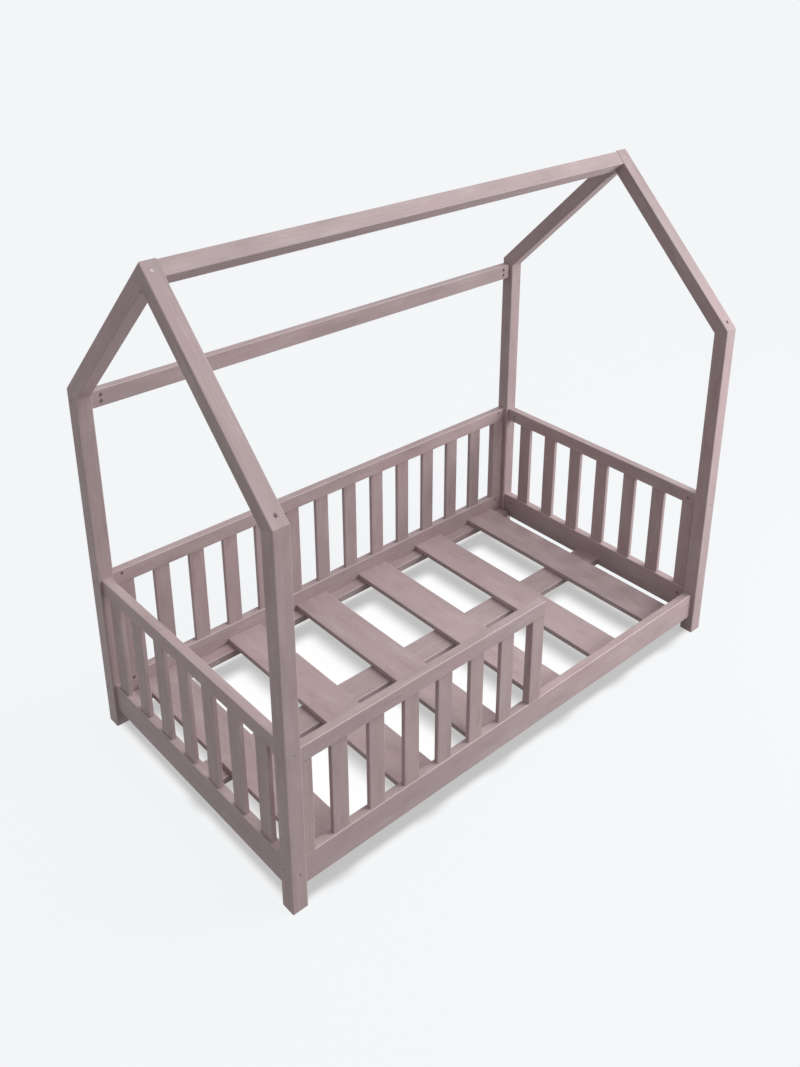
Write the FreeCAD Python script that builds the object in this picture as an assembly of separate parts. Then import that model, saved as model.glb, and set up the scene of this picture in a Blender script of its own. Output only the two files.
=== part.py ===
import FreeCAD, Part
import math
import os

Vector = FreeCAD.Vector

# A child's bed with a house-shaped frame. X runs along the bed, the guarded entry side faces -Y,
# +Z is up and the origin is on the floor below the middle of the bed. Millimetres and degrees.

# The house frame
bed_length = 1670.0
bed_width = 918.0
post_side = 45.0
eave_height = 1082.0
roof_angle = 45.0
frame_edge = 3.0
ridge_drop = 2.0

# The board under the back eaves
eaves_board_height = 50.0
eaves_board_drop = 16.0
eaves_board_corner = 9.0

# Rails between the posts
rail_thickness = 26.0
rail_edge = 2.5
long_rail_setback = 14.0
end_rail_setback = 9.5
lower_rail_bottom = 57.0
lower_rail_height = 88.0
upper_rail_bottom = 460.0
upper_rail_height = 46.0
guard_rail_bottom = 429.0
guard_rail_height = 47.0
guard_length = 841.0

# Slats and stiles
slat_width = 50.0
slat_thickness = 14.0
slat_edge = 2.5
slat_tenon = 12.0
tenon_clearance = 0.2
end_slat_count = 7
left_front_gap = 52.0
left_back_gap = 20.0
right_front_gap = 6.0
right_back_gap = 56.0
guard_slat_count = 6
guard_post_stile_width = 39.0
guard_first_gap = 60.0
guard_last_gap = 67.0
guard_end_stile_width = 48.0
back_slat_count = 12
back_left_stile_width = 66.0
back_right_stile_width = 50.0

# The bed base
board_count = 6
board_width = 120.0
board_thickness = 18.0
board_edge = 3.0
board_end_gap = 0.5
board_drop = 45.0
first_board_gap = 60.0
first_board_opening = 184.0
last_board_gap = 65.0
ledge_width = 40.0
ledge_height = 25.0
ledge_end_gap = 0.5
plank_width = 92.0
plank_thickness = 22.0

# The steel angles that carry the centre plank
hanger_gauge = 2.0
hanger_depth = 32.0
hanger_fit = 0.3
hanger_screw_spacing = 56.0

# Fasteners
bolt_diameter = 6.0
bolt_bore = 7.0
bolt_head_diameter = 10.0
bolt_head_height = 5.0
bolt_socket_across = 4.0
bolt_socket_depth = 3.0
bolt_counterbore = 11.0
bolt_recess = 1.2
bolt_tip = 6.0
nut_diameter = 10.0
nut_bore = 10.6
nut_length = 14.0
nut_inset = 30.0
nut_thread_bore = 6.4
eaves_bolt_pitch = 18.0
screw_diameter = 5.0
screw_pilot = 5.3
screw_head_diameter = 9.0
screw_head_bore = 9.4
screw_head_height = 4.0
screw_socket_across = 3.0
screw_socket_depth = 2.0
screw_recess = 0.8
post_screw_length = 110.0
apex_screw_length = 80.0
ridge_screw_length = 110.0
hanger_screw_length = 18.0
hanger_screw_diameter = 4.0
hanger_screw_pilot = 4.3
hanger_screw_head = 7.0
hanger_screw_socket_depth = 1.0
hanger_screw_fit = 0.2
front_eave_screw_inset = 20.0
back_eave_screw_inset = 33.0
apex_screw_inset = 19.0
ridge_screw_offset = 9.5
ledge_screw_count = 7
ledge_screw_inset = 40.0

# How far the bolts lie above their rails' middles. Bolts that meet in one post pass at two levels.
lower_long_bolt_offset = 27.0
upper_long_bolt_offset = 10.0
guard_bolt_offset = 14.5
lower_end_bolt_offset = 14.0
upper_end_bolt_offset = -3.0

# An edge or axis counts as parallel to a direction within this angle
parallel_angle = 2.5
hexagon = 6

# Places worked out from the driving sizes
half_length = bed_length / 2
half_width = bed_width / 2
slope = math.tan(math.radians(roof_angle))
plumb_depth = post_side / math.cos(math.radians(roof_angle))
apex_height = eave_height + half_width * slope
inner_eave_height = eave_height + post_side * slope - plumb_depth
post_inner_x = half_length - post_side
post_inner_y = half_width - post_side
lower_rail_top = lower_rail_bottom + lower_rail_height
front_rail_y = -half_width + long_rail_setback
back_rail_y = half_width - post_side + long_rail_setback
left_rail_x = -half_length + end_rail_setback
right_rail_x = half_length - post_side + end_rail_setback
slat_recess = (rail_thickness - slat_thickness) / 2
bolt_seat = bolt_recess + bolt_head_height
slope_screw_recess = screw_recess + screw_head_diameter / 2 * slope
board_top = lower_rail_top - board_drop
board_bottom = board_top - board_thickness


def eased(solid, direction, radius):
    """Rounds the straight edges that run along a direction."""
    chosen = []
    for edge in solid.Edges:
        tangent = edge.tangentAt(edge.FirstParameter)
        if abs(tangent.dot(direction)) > math.cos(math.radians(parallel_angle)):
            chosen.append(edge)
    return solid.makeFillet(radius, chosen)


along_x = Vector(1, 0, 0)
along_y = Vector(0, 1, 0)
along_z = Vector(0, 0, 1)


def bar(low, high, direction, radius):
    """A straight bar between two corners, with its long edges eased."""
    block = Part.makeBox(high[0] - low[0], high[1] - low[1], high[2] - low[2], Vector(*low))
    return eased(block, direction, radius)


def prism(outline, start_x, length):
    """Extrudes an outline of (y, z) points along X."""
    points = [Vector(start_x, y, z) for y, z in outline]
    face = Part.Face(Part.makePolygon(points + points[:1]))
    return face.extrude(Vector(length, 0, 0))


def rod(start, direction, length, diameter):
    return Part.makeCylinder(diameter / 2, length, start, direction)


def hex_socket(start, direction, across, depth):
    """The hexagonal recess of a cap screw, as a solid to cut."""
    side = along_z if abs(direction.x) > math.cos(math.radians(parallel_angle)) else along_x
    side = side.cross(direction).normalize()
    other = direction.cross(side)
    reach = across / 2 / math.cos(math.pi / hexagon)
    corners = []
    for turn in range(hexagon):
        angle = 2 * math.pi * turn / hexagon
        corners.append(start + side * (reach * math.cos(angle)) + other * (reach * math.sin(angle)))
    face = Part.Face(Part.makePolygon(corners + corners[:1]))
    return face.extrude(direction * depth)


# Every fastener adds its own solid to a group, and its hole to the wood that it goes through.
groups = {"rail_bolts": [], "barrel_nuts": [], "roof_screws": [], "ridge_screws": [],
          "ledge_screws": [], "hanger_screws": []}
wood = {}
holes = {}


def add_wood(name, solid):
    wood[name] = solid
    holes[name] = []


def add_hole(names, hole):
    for name in names:
        holes[name].append(hole)


def add_rail_bolt(surface, direction, post, rail, nut_direction, nut_start):
    """A cap bolt through a post into a rail's end, with its barrel nut across the rail."""
    seat = surface + direction * bolt_seat
    head_start = seat - direction * bolt_head_height
    reach = post_side + nut_inset + bolt_tip - bolt_seat
    head = rod(head_start, direction, bolt_head_height, bolt_head_diameter)
    head = head.cut(hex_socket(head_start, direction, bolt_socket_across, bolt_socket_depth))
    groups["rail_bolts"].append(head.fuse(rod(seat, direction, reach, bolt_diameter)))
    add_hole([post], rod(surface, direction, bolt_seat, bolt_counterbore))
    add_hole([post, rail], rod(seat, direction, reach + bolt_head_height, bolt_bore))
    centre = surface + direction * (post_side + nut_inset)
    nut_depth = nut_direction.dot(nut_start - centre)
    opening = centre + nut_direction * nut_depth
    add_hole([rail], rod(opening, nut_direction, -nut_depth + nut_length / 2, nut_bore))
    nut = rod(centre - nut_direction * (nut_length / 2), nut_direction, nut_length, nut_diameter)
    thread = rod(centre - direction * nut_diameter, direction, 2 * nut_diameter, nut_thread_bore)
    groups["barrel_nuts"].append(nut.cut(thread))


def add_screw(group, surface, direction, length, recess, names):
    """A countersunk-look cap screw, its head just below the wood's surface."""
    head_start = surface + direction * recess
    seat = head_start + direction * screw_head_height
    head = rod(head_start, direction, screw_head_height, screw_head_diameter)
    head = head.cut(hex_socket(head_start, direction, screw_socket_across, screw_socket_depth))
    groups[group].append(head.fuse(rod(seat, direction, length, screw_diameter)))
    start = surface - direction * screw_head_diameter
    recess_depth = recess + screw_head_height + screw_head_diameter
    add_hole(names, rod(start, direction, recess_depth, screw_head_bore))
    add_hole(names, rod(seat, direction, length, screw_pilot))


# Posts and rafters make one gable frame at each end, mitred at the eaves and at the apex
def gable_post(side_y, start_x):
    outline = [(side_y * half_width, 0), (side_y * half_width, eave_height),
               (side_y * post_inner_y, inner_eave_height), (side_y * post_inner_y, 0)]
    return eased(prism(outline, start_x, post_side), along_z, frame_edge)


def gable_rafter(side_y, start_x):
    outline = [(side_y * half_width, eave_height), (0, apex_height),
               (0, apex_height - plumb_depth), (side_y * post_inner_y, inner_eave_height)]
    fall = Vector(0, side_y * math.cos(math.radians(roof_angle)), -math.sin(math.radians(roof_angle)))
    return eased(prism(outline, start_x, post_side), fall, frame_edge)


for side_name, start_x in (("left", -half_length), ("right", post_inner_x)):
    for face_name, side_y in (("front", -1), ("back", 1)):
        add_wood(f"{face_name}_{side_name}_post", gable_post(side_y, start_x))
        add_wood(f"{face_name}_{side_name}_rafter", gable_rafter(side_y, start_x))

# The ridge beam is a square bar set on its corner, in line with the slopes
ridge_half = plumb_depth / 2
ridge_centre = apex_height - ridge_drop - ridge_half
ridge_outline = [(0, ridge_centre + ridge_half), (ridge_half, ridge_centre),
                 (0, ridge_centre - ridge_half), (-ridge_half, ridge_centre)]
add_wood("ridge_beam", eased(prism(ridge_outline, -post_inner_x, 2 * post_inner_x), along_x, frame_edge))

# The board under the back eaves, on edge between the back posts, with its end corners rounded
eaves_top = eave_height - eaves_board_drop
eaves_low = eaves_top - eaves_board_height
eaves_board = Part.makeBox(2 * post_inner_x, rail_thickness, eaves_board_height,
                           Vector(-post_inner_x, back_rail_y, eaves_low))
eaves_board = eased(eaves_board, along_y, eaves_board_corner)
eaves_board = eased(eaves_board, along_x, rail_edge)
add_wood("back_eaves_board", eaves_board)


# Rails
def long_rail(rail_y, bottom, height, end_x):
    low = (-post_inner_x, rail_y, bottom)
    return bar(low, (end_x, rail_y + rail_thickness, bottom + height), along_x, rail_edge)


def end_rail(rail_x, bottom, height):
    low = (rail_x, -post_inner_y, bottom)
    return bar(low, (rail_x + rail_thickness, post_inner_y, bottom + height), along_y, rail_edge)


guard_end_x = -post_inner_x + guard_length
add_wood("front_lower_rail", long_rail(front_rail_y, lower_rail_bottom, lower_rail_height, post_inner_x))
add_wood("guard_top_rail", long_rail(front_rail_y, guard_rail_bottom, guard_rail_height, guard_end_x))
add_wood("back_lower_rail", long_rail(back_rail_y, lower_rail_bottom, lower_rail_height, post_inner_x))
add_wood("back_upper_rail", long_rail(back_rail_y, upper_rail_bottom, upper_rail_height, post_inner_x))
for side_name, rail_x in (("left", left_rail_x), ("right", right_rail_x)):
    add_wood(f"{side_name}_lower_rail", end_rail(rail_x, lower_rail_bottom, lower_rail_height))
    add_wood(f"{side_name}_upper_rail", end_rail(rail_x, upper_rail_bottom, upper_rail_height))


# Slats stand in mortises in the rails
def slat_block(along, start, across, bottom, top, grow, radius):
    """A slat on the rails' middle plane: along is the panel's axis, grow is added all round."""
    thick_low = across + slat_recess - grow
    thick_high = thick_low + slat_thickness + 2 * grow
    if along == along_x:
        low = (start - grow, thick_low, bottom)
        high = (start + slat_width + grow, thick_high, top)
    else:
        low = (thick_low, start - grow, bottom)
        high = (thick_high, start + slat_width + grow, top)
    return bar(low, high, along_z, radius)


def panel_slats(along, across, first, last, count, lower, upper, upper_bottom):
    """Evenly spaced slats that fill a panel from first to last, with their mortises in the rails."""
    pitch = (last - first - slat_width) / (count - 1)
    slats = []
    for index in range(count):
        start = first + index * pitch
        foot = lower_rail_top - slat_tenon
        head = upper_bottom + slat_tenon
        slats.append(slat_block(along, start, across, foot, head - tenon_clearance, 0, slat_edge))
        pocket_edge = slat_edge + tenon_clearance
        lower_pocket = slat_block(along, start, across, foot, lower_rail_top, tenon_clearance, pocket_edge)
        upper_pocket = slat_block(along, start, across, upper_bottom, head, tenon_clearance, pocket_edge)
        add_hole([lower], lower_pocket)
        add_hole([upper], upper_pocket)
    return slats


def stile(start, width, rail_y, top):
    """An upright as thick as the rails, between the lower rail and the one above it."""
    low = (start, rail_y, lower_rail_top)
    high = (start + width, rail_y + rail_thickness, top)
    return bar(low, high, along_z, rail_edge)


# Each end panel has seven slats and no stiles. The two panels are one part, turned end for end.
end_panels = (("left", left_rail_x, left_front_gap, left_back_gap),
              ("right", right_rail_x, right_front_gap, right_back_gap))
for side_name, rail_x, front_gap, back_gap in end_panels:
    slats = panel_slats(along_y, rail_x, -post_inner_y + front_gap, post_inner_y - back_gap, end_slat_count,
                        f"{side_name}_lower_rail", f"{side_name}_upper_rail", upper_rail_bottom)
    for index, slat in enumerate(slats):
        add_wood(f"{side_name}_slat_{index + 1}", slat)

# The guard beside the entry stops at an end stile
guard_first = -post_inner_x + guard_post_stile_width
guard_last = guard_end_x - guard_end_stile_width
add_wood("guard_post_stile",
         stile(-post_inner_x, guard_post_stile_width, front_rail_y, guard_rail_bottom))
add_wood("guard_end_stile",
         stile(guard_last, guard_end_stile_width, front_rail_y, guard_rail_bottom))
guard_slats = panel_slats(along_x, front_rail_y, guard_first + guard_first_gap, guard_last - guard_last_gap,
                          guard_slat_count, "front_lower_rail", "guard_top_rail", guard_rail_bottom)
for index, slat in enumerate(guard_slats):
    add_wood(f"guard_slat_{index + 1}", slat)

# The back panel runs the whole length between its two stiles, with one gap all through
back_first = -post_inner_x + back_left_stile_width
back_last = post_inner_x - back_right_stile_width
back_gap = (back_last - back_first - back_slat_count * slat_width) / (back_slat_count + 1)
add_wood("back_left_stile",
         stile(-post_inner_x, back_left_stile_width, back_rail_y, upper_rail_bottom))
add_wood("back_right_stile",
         stile(back_last, back_right_stile_width, back_rail_y, upper_rail_bottom))
back_slats = panel_slats(along_x, back_rail_y, back_first + back_gap, back_last - back_gap,
                         back_slat_count, "back_lower_rail", "back_upper_rail", upper_rail_bottom)

# The bed base: ledges along the long rails and a plank down the middle carry the cross boards
front_ledge_y = front_rail_y + rail_thickness
back_ledge_y = back_rail_y - ledge_width
ledge_reach = post_inner_x - ledge_end_gap
for face_name, ledge_y in (("front", front_ledge_y), ("back", back_ledge_y)):
    low = (-ledge_reach, ledge_y, board_bottom - ledge_height)
    high = (ledge_reach, ledge_y + ledge_width, board_bottom)
    add_wood(f"{face_name}_ledge", bar(low, high, along_x, rail_edge))

left_inner_x = left_rail_x + rail_thickness
right_inner_x = right_rail_x
plank_bottom = board_bottom - plank_thickness
plank_low = (left_inner_x + hanger_gauge + hanger_fit, -plank_width / 2, plank_bottom)
plank_high = (right_inner_x - hanger_gauge - hanger_fit, plank_width / 2, board_bottom)
add_wood("centre_plank", bar(plank_low, plank_high, along_x, board_edge))

board_first = left_inner_x + first_board_gap
board_last = right_inner_x - last_board_gap - board_width
board_second = board_first + board_width + first_board_opening
board_pitch = (board_last - board_second) / (board_count - 2)
board_places = [board_first]
for index in range(board_count - 1):
    board_places.append(board_second + index * board_pitch)
for index, board_x in enumerate(board_places):
    low = (board_x, front_ledge_y + board_end_gap, board_bottom)
    high = (board_x + board_width, back_rail_y - board_end_gap, board_top)
    add_wood(f"bed_board_{index + 1}", bar(low, high, along_y, board_edge))


# Each end of the plank rests on a bent steel angle, screwed to the end rail behind the plank's end
def plank_hanger(rail, wall_x, inward):
    """A shelf under the plank and a plate flat on the rail's inside face, with flush screws."""
    base = plank_bottom - hanger_gauge
    height = board_bottom - hanger_fit - base
    shelf = Part.makeBox(hanger_depth, plank_width, hanger_gauge,
                         Vector(min(wall_x, wall_x + inward * hanger_depth), -plank_width / 2, base))
    plate = Part.makeBox(hanger_gauge, plank_width, height,
                         Vector(min(wall_x, wall_x + inward * hanger_gauge), -plank_width / 2, base))
    angle = shelf.fuse(plate)
    into_rail = along_x * -inward
    for side_y in (-1, 1):
        place = Vector(wall_x + inward * hanger_gauge, side_y * hanger_screw_spacing / 2, base + height / 2)
        angle = angle.cut(countersink(place, into_rail, hanger_screw_fit))
        seat = place + into_rail * hanger_gauge
        head = countersink(place, into_rail, 0)
        head = head.cut(hex_socket(place, into_rail, screw_socket_across, hanger_screw_socket_depth))
        shank = rod(seat, into_rail, hanger_screw_length, hanger_screw_diameter)
        groups["hanger_screws"].append(head.fuse(shank))
        add_hole([rail], rod(seat, into_rail, hanger_screw_length, hanger_screw_pilot))
    return angle.removeSplitter()


def countersink(surface, direction, fit):
    """The cone of a flush screw head, as deep as the steel is thick."""
    wide = hanger_screw_head / 2 + fit
    narrow = hanger_screw_diameter / 2 + fit
    return Part.makeCone(wide, narrow, hanger_gauge, surface, direction)


steel = {"left_plank_hanger": plank_hanger("left_lower_rail", left_inner_x, 1),
         "right_plank_hanger": plank_hanger("right_lower_rail", right_inner_x, -1)}

# Bolts through the posts into the rails' ends
lower_middle = lower_rail_bottom + lower_rail_height / 2
upper_middle = upper_rail_bottom + upper_rail_height / 2
guard_level = guard_rail_bottom + guard_rail_height / 2 + guard_bolt_offset
long_rails = (("front_lower_rail", front_rail_y, lower_middle + lower_long_bolt_offset, (-1, 1)),
              ("guard_top_rail", front_rail_y, guard_level, (-1,)),
              ("back_lower_rail", back_rail_y, lower_middle + lower_long_bolt_offset, (-1, 1)),
              ("back_upper_rail", back_rail_y, upper_middle + upper_long_bolt_offset, (-1, 1)))
for rail, rail_y, level, sides in long_rails:
    face_name = "front" if rail_y < 0 else "back"
    inside_y = rail_y + rail_thickness if rail_y < 0 else rail_y
    inward = -along_y if rail_y < 0 else along_y
    for side_x in sides:
        side_name = "left" if side_x < 0 else "right"
        surface = Vector(side_x * half_length, rail_y + rail_thickness / 2, level)
        opening = Vector(0, inside_y, 0)
        add_rail_bolt(surface, along_x * -side_x, f"{face_name}_{side_name}_post", rail, inward, opening)

for side_name, rail_x, inside_x, inward in (("left", left_rail_x, left_inner_x, -along_x),
                                            ("right", right_rail_x, right_inner_x, along_x)):
    for level_name, level in (("lower", lower_middle + lower_end_bolt_offset),
                              ("upper", upper_middle + upper_end_bolt_offset)):
        for face_name, side_y in (("front", -1), ("back", 1)):
            surface = Vector(rail_x + rail_thickness / 2, side_y * half_width, level)
            add_rail_bolt(surface, along_y * -side_y, f"{face_name}_{side_name}_post",
                          f"{side_name}_{level_name}_rail", inward, Vector(inside_x, 0, 0))

eaves_middle = eaves_low + eaves_board_height / 2
for side_x, side_name in ((-1, "left"), (1, "right")):
    for shift in (-eaves_bolt_pitch / 2, eaves_bolt_pitch / 2):
        surface = Vector(side_x * half_length, back_rail_y + rail_thickness / 2, eaves_middle + shift)
        add_rail_bolt(surface, along_x * -side_x, f"back_{side_name}_post", "back_eaves_board",
                      along_y, Vector(0, back_rail_y, 0))

# Screws down through the rafters into the posts, across the front apex joint and into the ridge beam
for side_name, centre_x in (("left", -half_length + post_side / 2), ("right", half_length - post_side / 2)):
    for face_name, side_y, inset in (("front", -1, front_eave_screw_inset),
                                     ("back", 1, back_eave_screw_inset)):
        place = Vector(centre_x, side_y * (half_width - inset), eave_height + inset * slope)
        add_screw("roof_screws", place, -along_z, post_screw_length, slope_screw_recess,
                  [f"{face_name}_{side_name}_rafter", f"{face_name}_{side_name}_post"])
    place = Vector(centre_x, -apex_screw_inset, apex_height - apex_screw_inset * slope)
    inward = Vector(0, math.sin(math.radians(roof_angle)), -math.cos(math.radians(roof_angle)))
    add_screw("roof_screws", place, inward, apex_screw_length, screw_recess,
              [f"front_{side_name}_rafter", f"back_{side_name}_rafter"])
    side_x = -1 if centre_x < 0 else 1
    place = Vector(side_x * half_length, ridge_screw_offset, ridge_centre)
    add_screw("ridge_screws", place, along_x * -side_x, ridge_screw_length, screw_recess,
              [f"back_{side_name}_rafter", "ridge_beam"])

# Screws through the ledges into the long rails
for face_name, surface_y, direction in (("front", front_ledge_y + ledge_width, -along_y),
                                        ("back", back_ledge_y, along_y)):
    reach_x = ledge_reach - ledge_screw_inset
    for index in range(ledge_screw_count):
        place_x = -reach_x + 2 * reach_x * index / (ledge_screw_count - 1)
        place = Vector(place_x, surface_y, board_bottom - ledge_height / 2)
        shank = ledge_width + rail_thickness / 2 - screw_recess - screw_head_height
        add_screw("ledge_screws", place, direction, shank, screw_recess,
                  [f"{face_name}_ledge", f"{face_name}_lower_rail"])


# Cut the holes and write one file for each piece or group
def write(name, shape):
    solids = shape.Solids
    if not shape.isValid() or not solids:
        raise ValueError(f"{name} is not a sound solid")
    shape.exportStep(os.path.join("parts", name + ".step"))
    print(name, len(solids), round(shape.Volume))


os.makedirs("parts", exist_ok=True)
for name, solid in wood.items():
    finished = solid.cut(holes[name]) if holes[name] else solid
    if len(finished.Solids) != 1:
        raise ValueError(f"{name} came apart")
    write(name, finished.Solids[0])
for name, shape in steel.items():
    write(name, shape)
write("back_slats", Part.makeCompound(back_slats))
for name, shapes in groups.items():
    write(name, Part.makeCompound([piece.Solids[0] for piece in shapes]))
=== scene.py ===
import bpy
import math
import random
from mathutils import Matrix, Vector

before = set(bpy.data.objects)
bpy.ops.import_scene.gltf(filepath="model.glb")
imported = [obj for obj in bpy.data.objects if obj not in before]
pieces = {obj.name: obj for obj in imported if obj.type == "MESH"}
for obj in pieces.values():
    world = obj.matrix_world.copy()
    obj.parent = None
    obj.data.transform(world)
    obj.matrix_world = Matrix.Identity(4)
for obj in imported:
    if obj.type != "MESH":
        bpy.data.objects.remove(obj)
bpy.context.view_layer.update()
print("frame loaded,", len(pieces), "pieces")


# Shader maths: a Flow is one socket, and arithmetic on it adds Math nodes to its material

class Flow:
    def __init__(self, maker, socket):
        self.maker = maker
        self.socket = socket

    def maths(self, operation, first, second=0.0):
        return self.maker.add("ShaderNodeMath", {"operation": operation}, {0: first, 1: second})

    def __add__(self, other):
        return self.maths("ADD", self, other)

    def __radd__(self, other):
        return self.maths("ADD", other, self)

    def __sub__(self, other):
        return self.maths("SUBTRACT", self, other)

    def __rsub__(self, other):
        return self.maths("SUBTRACT", other, self)

    def __mul__(self, other):
        return self.maths("MULTIPLY", self, other)

    def __rmul__(self, other):
        return self.maths("MULTIPLY", other, self)

    def __pow__(self, other):
        return self.maths("POWER", self, other)

    def __rpow__(self, other):
        return self.maths("POWER", other, self)

    def __abs__(self):
        return self.maths("ABSOLUTE", self)

    def larger(self, other):
        return self.maths("MAXIMUM", self, other)

    def ramp(self, low, high):  # 0 below low, 1 above high, smooth between
        settings = {"interpolation_type": "SMOOTHSTEP"}
        return self.maker.add("ShaderNodeMapRange", settings, {0: self, 1: low, 2: high, 3: 0.0, 4: 1.0})

    def output(self, name):
        return Flow(self.maker, self.socket.node.outputs[name])


class Maker:
    def __init__(self, tree):
        self.tree = tree
        tree.nodes.clear()

    def add(self, kind, settings=None, sockets=None):
        node = self.tree.nodes.new(kind)
        for name, value in (settings or {}).items():
            setattr(node, name, value)
        for name, value in (sockets or {}).items():
            if isinstance(value, Flow):
                self.tree.links.new(value.socket, node.inputs[name])
            else:
                node.inputs[name].default_value = value
        return Flow(self, node.outputs[0]) if node.outputs else None

    def mix(self, factor, first, second, blend="MIX"):
        settings = {"data_type": "RGBA", "blend_type": blend}
        return self.add("ShaderNodeMix", settings, {0: factor, 6: first, 7: second}).output(2)

    def dot(self, flow, direction):
        made = self.add("ShaderNodeVectorMath", {"operation": "DOT_PRODUCT"}, {0: flow, 1: direction})
        return made.output("Value")

    def join(self, x, y, z):
        return self.add("ShaderNodeCombineXYZ", None, {0: x, 1: y, 2: z})

    def noise(self, vector, scale, detail, roughness=0.5):
        sockets = {"Vector": vector, "Scale": scale, "Detail": detail, "Roughness": roughness}
        return self.add("ShaderNodeTexNoise", None, sockets)


def newMaterial(name):
    material = bpy.data.materials.new(name)
    material.use_nodes = True
    return material, Maker(material.node_tree)


def linear(red, green, blue):  # a colour given in screen values, 0 to 255
    def channel(value):
        part = value / 255
        return part / 12.92 if part <= 0.04045 else ((part + 0.055) / 1.055) ** 2.4
    return (channel(red), channel(green), channel(blue), 1.0)


# Painted pine: a thin satin paint that lets the grain show along each piece
mauvePaint = {
    "body": linear(184, 163, 164),
    "greyer": linear(176, 157, 158),
    "pinker": linear(186, 160, 163),
    "faded": linear(195, 178, 178),
    "pores": linear(146, 124, 125),
    # lighter eased edges: partly paint rubbed thin, partly a painted highlight
    "wornAndHighlit": linear(214, 199, 200),
    "endGrain": linear(158, 138, 138),
    "roughness": 0.52,
    "roughSwing": 0.16,
    "edgeSmoothing": 0.06,
    "specular": 0.42,
    "bumpStrength": 0.6,
    "fibreBump": 0.00035,
    "toneSpread": 0.035,
    "toneSeed": 7,
}

pineGrain = {
    # noises: scale along the grain, scale across it, detail, roughness
    "drift": (1.7, 6.0, 2.0, 0.5),
    "blush": (3.1, 14.0, 2.0, 0.5),
    "stain": (7.0, 24.0, 3.0, 0.6),
    "wander": (2.2, 9.0, 1.0, 0.5),
    "streaks": (5.0, 260.0, 4.0, 0.6),
    "hairs": (14.0, 800.0, 3.0, 0.6),
    # layers: the noise value where each starts, the one where it is full, and how much it covers
    "greyerLayer": (0.35, 0.65, 1.0),
    "pinkerLayer": (0.45, 0.75, 0.6),
    "fadedLayer": (0.50, 0.72, 0.55),
    "stainLayer": (0.52, 0.75, 0.35),
    "streakLayer": (0.50, 0.80, 0.40),
    "hairLayer": (0.55, 0.85, 0.22),
    "edgeLayer": (0.02, 0.2, 0.55),
    "endLayer": (0.8, 0.95, 0.6),
    # growth rings
    "ringScale": (26, 38),
    "ringWander": 0.05,
    "ringTilt": 0.8,
    "ringDistortion": 1.2,
    "ringDetail": 2.0,
    "ringDetailScale": 1.5,
    "ringSharpness": 3.0,
    "ringCover": 0.20,
    # how far streaks, hairs and rings stand up
    "relief": (0.6, 0.25, 0.25),
    "shiftReach": 40,
}


def paintedPine(name, grain, side, seed, tone):
    # grain runs along the piece, side and third are square to it
    dice = random.Random(seed)
    third = grain.cross(side)
    shift = [dice.uniform(-pineGrain["shiftReach"], pineGrain["shiftReach"]) for _ in range(3)]
    paint = mauvePaint
    material, make = newMaterial(name)
    place = make.add("ShaderNodeTexCoord").output("Object")
    facing = make.add("ShaderNodeNewGeometry").output("Normal")
    along = make.dot(place, grain)
    across = make.dot(place, side)
    through = make.dot(place, third)

    def grainNoise(kind, alongShift=0.0, acrossShift=0.0, throughShift=0.0):
        lengthwise, crosswise, detail, roughness = pineGrain[kind]
        vector = make.join(along * lengthwise + alongShift, across * crosswise + acrossShift,
                           through * crosswise + throughShift)
        return make.noise(vector, 1.0, detail, roughness)

    def cover(colour, mask, layer, tint):
        start, full, most = pineGrain[layer]
        return make.mix(mask.ramp(start, full) * most, colour, tint)

    # slow drift of tone along the board
    drift = grainNoise("drift", shift[0], shift[1])
    blush = grainNoise("blush", shift[2], throughShift=shift[0])
    stain = grainNoise("stain", shift[1], shift[2])

    # growth rings cut lengthwise: bands across the piece that wander slowly along it
    wander = grainNoise("wander", shift[1], shift[0])
    ringPlace = make.join(0.0, across + wander * pineGrain["ringWander"] + shift[2],
                          through * pineGrain["ringTilt"])
    rings = make.add("ShaderNodeTexWave", {"bands_direction": "Y", "wave_profile": "SAW"},
                     {"Vector": ringPlace, "Scale": dice.uniform(*pineGrain["ringScale"]),
                      "Distortion": pineGrain["ringDistortion"], "Detail": pineGrain["ringDetail"],
                      "Detail Scale": pineGrain["ringDetailScale"]}).output("Fac")

    # fibres: long thin streaks at two widths
    streaks = grainNoise("streaks", shift[0])
    hairs = grainNoise("hairs", shift[2])

    # sawn ends face along the grain, and eased edges face none of the three directions
    endFacing = abs(make.dot(facing, grain))
    flatness = endFacing.larger(abs(make.dot(facing, side))).larger(abs(make.dot(facing, third)))
    edgeStart, edgeFull, edgeMost = pineGrain["edgeLayer"]
    edge = (1.0 - flatness).ramp(edgeStart, edgeFull)

    colour = cover(paint["body"], drift, "greyerLayer", paint["greyer"])
    colour = cover(colour, blush, "pinkerLayer", paint["pinker"])
    colour = cover(colour, stain, "fadedLayer", paint["faded"])
    colour = cover(colour, 1.0 - stain, "stainLayer", paint["pores"])
    colour = cover(colour, streaks, "streakLayer", paint["pores"])
    colour = cover(colour, hairs, "hairLayer", paint["pores"])
    colour = make.mix(rings ** pineGrain["ringSharpness"] * pineGrain["ringCover"], colour, paint["pores"])
    # eased edges turn lighter: partly paint rubbed thin, partly a painted highlight along every edge
    colour = make.mix(edge * edgeMost, colour, paint["wornAndHighlit"])
    colour = cover(colour, endFacing, "endLayer", paint["endGrain"])
    colour = make.mix(1.0, colour, (tone, tone, tone, 1.0), "MULTIPLY")

    streakRelief, hairRelief, ringRelief = pineGrain["relief"]
    relief = streaks * streakRelief + hairs * hairRelief + rings * ringRelief
    bump = make.add("ShaderNodeBump", None, {"Strength": paint["bumpStrength"],
                                             "Distance": paint["fibreBump"], "Height": relief})
    swing = paint["roughSwing"]
    rough = paint["roughness"] + streaks * swing - swing / 2 - edge * paint["edgeSmoothing"]
    shader = make.add("ShaderNodeBsdfPrincipled", None,
                      {"Base Color": colour, "Roughness": rough,
                       "Specular IOR Level": paint["specular"], "Normal": bump})
    make.add("ShaderNodeOutputMaterial", None, {"Surface": shader})
    return material


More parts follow.
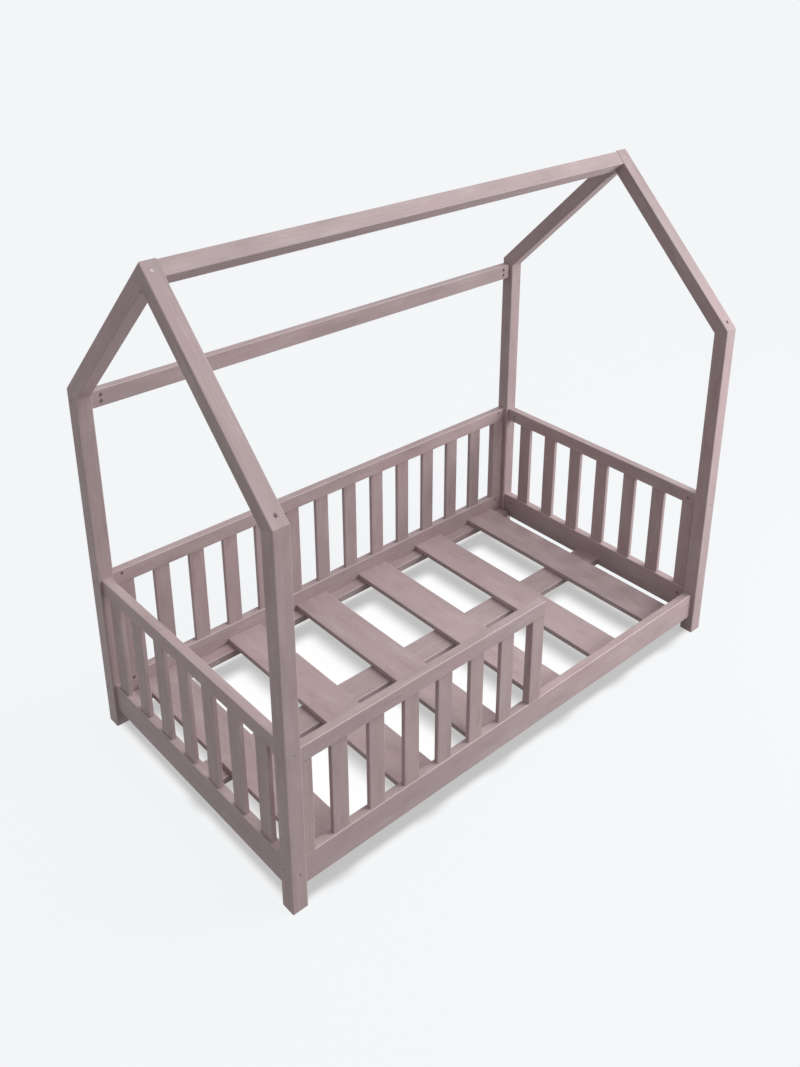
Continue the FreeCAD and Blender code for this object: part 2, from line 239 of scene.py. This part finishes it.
# Zinc plated screws and bolts, dulled by handling
zincPlate = {
    "colour": linear(214, 203, 201),
    "dull": linear(182, 168, 166),
    "dullRange": (0.35, 0.7),
    "smearScale": 160.0,
    "smearDetail": 2.0,
    "spotScale": 900.0,
    "spotDetail": 3.0,
    "roughness": 0.5,
    "roughSwing": 0.2,
    "metallic": 0.25,
    "bumpStrength": 0.3,
    "spotBump": 0.0001,
}


def zincSteel(name):
    plate = zincPlate
    material, make = newMaterial(name)
    place = make.add("ShaderNodeTexCoord").output("Object")
    spots = make.noise(place, plate["spotScale"], plate["spotDetail"])
    smears = make.noise(place, plate["smearScale"], plate["smearDetail"])
    colour = make.mix(smears.ramp(*plate["dullRange"]), plate["colour"], plate["dull"])
    bump = make.add("ShaderNodeBump", None, {"Strength": plate["bumpStrength"],
                                             "Distance": plate["spotBump"], "Height": spots})
    swing = plate["roughSwing"]
    shader = make.add("ShaderNodeBsdfPrincipled", None,
                      {"Base Color": colour, "Metallic": plate["metallic"], "Normal": bump,
                       "Roughness": plate["roughness"] + spots * swing - swing / 2})
    make.add("ShaderNodeOutputMaterial", None, {"Surface": shader})
    return material


# Which way the grain runs in each piece
alongX = Vector((1, 0, 0))
alongY = Vector((0, 1, 0))
alongZ = Vector((0, 0, 1))
slopeUp = Vector((0, 1, 1)).normalized()
slopeDown = Vector((0, 1, -1)).normalized()


def grainOf(node):  # the direction of the grain, and one square to it
    atEnd = node.startswith(("left_", "right_"))
    if node.endswith("rafter"):
        return (slopeUp if node.startswith("front") else slopeDown), alongX
    if node == "ridge_beam":
        return alongX, slopeUp
    if node.endswith("post") or "_slat" in node or node.endswith("stile"):
        return alongZ, (alongY if atEnd else alongX)
    if node.startswith("bed_board"):
        return alongY, alongX
    if node.endswith("rail"):
        return (alongY if atEnd else alongX), alongZ
    return alongX, (alongZ if node == "back_eaves_board" else alongY)


steelNodes = ("rail_bolts", "barrel_nuts", "roof_screws", "ridge_screws", "ledge_screws", "hanger_screws",
              "left_plank_hanger", "right_plank_hanger")
steel = zincSteel("zincSteel")
for number, (node, piece) in enumerate(sorted(pieces.items())):
    if node in steelNodes:
        finish = steel
    else:
        grain, side = grainOf(node)
        toneDice = random.Random(number + mauvePaint["toneSeed"])
        pieceTone = 1.0 + toneDice.uniform(-mauvePaint["toneSpread"], mauvePaint["toneSpread"])
        finish = paintedPine("pine_" + node, grain, side, number, pieceTone)
    for holder in piece.material_slots:
        holder.material = finish
print("materials made")


# Studio: a pale floor with the bed's soft shade on it, a wide sun high on the right,
# a lamp at the front right and an even sky
studio = {
    "floorSide": 160.0,
    "paleGround": linear(242, 244, 246),
    "whiteGround": (1.015, 1.015, 1.015, 1.0),
    "shadedGround": linear(193, 192, 192),
    "bedHalf": (0.835, 0.459),  # half the bed's length and half its width, in metres
    "ownGlow": 0.96,
    "shadowShare": 0.06,
    "railShade": (-0.11, -0.05, -0.030, 0.014),  # metres past the bed's outline: starts, full, fades, gone
    "boardShade": (-0.018, 0.055),  # metres inside a board's edge: starts, full
    "bounce": (0.22, 0.20, 0.20, 1.0),
    "skyStrength": 0.495,
    "keyPlace": Vector((1.75, -0.8, 2.75)),
    "keyStrength": 1.45,
    "keySpread": 38.0,
    "sidePlace": Vector((2.1, -2.3, 1.3)),
    "sideTarget": Vector((0.8, -0.4, 0.8)),
    "sideSize": 1.2,
    "sidePower": 50.0,
}


def seenDirectly(make):  # camera, glossy and transmission rays see the pale ground itself
    path = make.add("ShaderNodeLightPath")
    return path.output("Is Camera Ray").larger(path.output("Is Glossy Ray")).larger(
        path.output("Is Transmission Ray"))


def reach(piece, axis):  # how far a piece goes along one axis, low and high
    places = [(piece.matrix_world @ Vector(corner))[axis] for corner in piece.bound_box]
    return min(places), max(places)


def groundColour(make):
    place = make.add("ShaderNodeTexCoord").output("Object")
    split = make.add("ShaderNodeSeparateXYZ", None, {0: place})
    alongBed = split.output("X")
    acrossBed = split.output("Y")
    halfX, halfY = studio["bedHalf"]
    outside = (abs(alongBed) - halfX).larger(abs(acrossBed) - halfY)
    inner, deep, rim, gone = studio["railShade"]
    beyond = outside.ramp(rim, gone)
    ground = make.mix(beyond, studio["whiteGround"], studio["paleGround"])

    # soft shade on the floor under the rails, the centre plank and each cross board
    faint, full = studio["boardShade"]
    lightLeft = 1.0 - outside.ramp(inner, deep) * (1.0 - beyond)
    plankLow, plankHigh = reach(pieces["centre_plank"], 1)
    lightLeft = lightLeft * (abs(acrossBed) - (plankHigh - plankLow) / 2).ramp(-full, -faint)
    for node, piece in sorted(pieces.items()):
        if node.startswith("bed_board"):
            low, high = reach(piece, 0)
            under = (alongBed - low).ramp(faint, full) * (1.0 - (alongBed - high).ramp(-full, -faint))
            lightLeft = lightLeft * (1.0 - under)
    return make.mix((1.0 - lightLeft) * (1.0 - beyond), ground, studio["shadedGround"])


def paleFloor():
    half = studio["floorSide"] / 2
    mesh = bpy.data.meshes.new("studioFloor")
    corners = [(-half, -half, 0), (half, -half, 0), (half, half, 0), (-half, half, 0)]
    mesh.from_pydata(corners, [], [(0, 1, 2, 3)])
    floor = bpy.data.objects.new("studioFloor", mesh)
    bpy.context.scene.collection.objects.link(floor)
    material, make = newMaterial("paleFloor")
    dimmed = [channel * studio["shadowShare"] for channel in studio["paleGround"][:3]] + [1.0]
    lit = make.add("ShaderNodeBsdfDiffuse", None, {"Color": dimmed})
    glow = make.add("ShaderNodeEmission", None, {"Color": groundColour(make), "Strength": studio["ownGlow"]})
    shown = make.add("ShaderNodeAddShader", None, {0: lit, 1: glow})
    plain = make.add("ShaderNodeBsdfDiffuse", None, {"Color": studio["bounce"]})
    both = make.add("ShaderNodeMixShader", None, {0: seenDirectly(make), 1: plain, 2: shown})
    make.add("ShaderNodeOutputMaterial", None, {"Surface": both})
    mesh.materials.append(material)


def softSky():
    world = bpy.data.worlds.new("studioSky")
    world.use_nodes = True
    bpy.context.scene.world = world
    make = Maker(world.node_tree)
    sky = make.add("ShaderNodeBackground", None, {"Color": (1, 1, 1, 1), "Strength": studio["skyStrength"]})
    pale = make.add("ShaderNodeBackground", None, {"Color": studio["paleGround"], "Strength": 1.0})
    both = make.add("ShaderNodeMixShader", None, {0: seenDirectly(make), 1: sky, 2: pale})
    make.add("ShaderNodeOutputWorld", None, {"Surface": both})


def hangLamp(name, lamp, place, target):
    holder = bpy.data.objects.new(name, lamp)
    bpy.context.scene.collection.objects.link(holder)
    holder.location = place
    holder.rotation_euler = (target - place).to_track_quat("-Z", "Y").to_euler()


def lamps():
    key = bpy.data.lights.new("keySun", "SUN")
    key.energy = studio["keyStrength"]
    key.angle = math.radians(studio["keySpread"])
    hangLamp("keySun", key, studio["keyPlace"], Vector((0, 0, 0)))
    side = bpy.data.lights.new("sideLamp", "AREA")
    side.energy = studio["sidePower"]
    side.size = studio["sideSize"]
    hangLamp("sideLamp", side, studio["sidePlace"], studio["sideTarget"])


paleFloor()
softSky()
lamps()
print("studio made")


# The camera stands where the photograph was taken from
photoCamera = {
    "place": Vector((-1.905, -2.0858, 2.3056)),
    "turn": -43.0,
    "drop": 23.08,
    "roll": 0.62,
    "focalPixels": 1107.4,
    "middlePixel": (435.3, 349.4),
    "photoSize": (800, 1067),
    "filmSide": 36.0,
    "farthest": 300,
}


def photoView():
    view = photoCamera
    turn = math.radians(view["turn"])
    drop = math.radians(view["drop"])
    roll = math.radians(view["roll"])
    back = Vector((math.sin(turn) * math.cos(drop), -math.cos(turn) * math.cos(drop), math.sin(drop)))
    right = Vector((0, 0, 1)).cross(back).normalized()
    up = back.cross(right)
    rolledRight = right * math.cos(roll) + up * math.sin(roll)
    rolledUp = up * math.cos(roll) - right * math.sin(roll)
    width, height = view["photoSize"]
    camera = bpy.data.cameras.new("photoCamera")
    camera.sensor_width = view["filmSide"]
    camera.lens = view["filmSide"] * view["focalPixels"] / height
    camera.shift_x = (width / 2 - view["middlePixel"][0]) / height
    camera.shift_y = (view["middlePixel"][1] - height / 2) / height
    camera.clip_end = view["farthest"]
    holder = bpy.data.objects.new("photoCamera", camera)
    bpy.context.scene.collection.objects.link(holder)
    axes = Matrix((rolledRight, rolledUp, back)).transposed().to_4x4()
    holder.matrix_world = Matrix.Translation(view["place"]) @ axes
    bpy.context.scene.camera = holder


photoView()
bpy.context.scene.view_settings.view_transform = "Standard"
print("camera set")
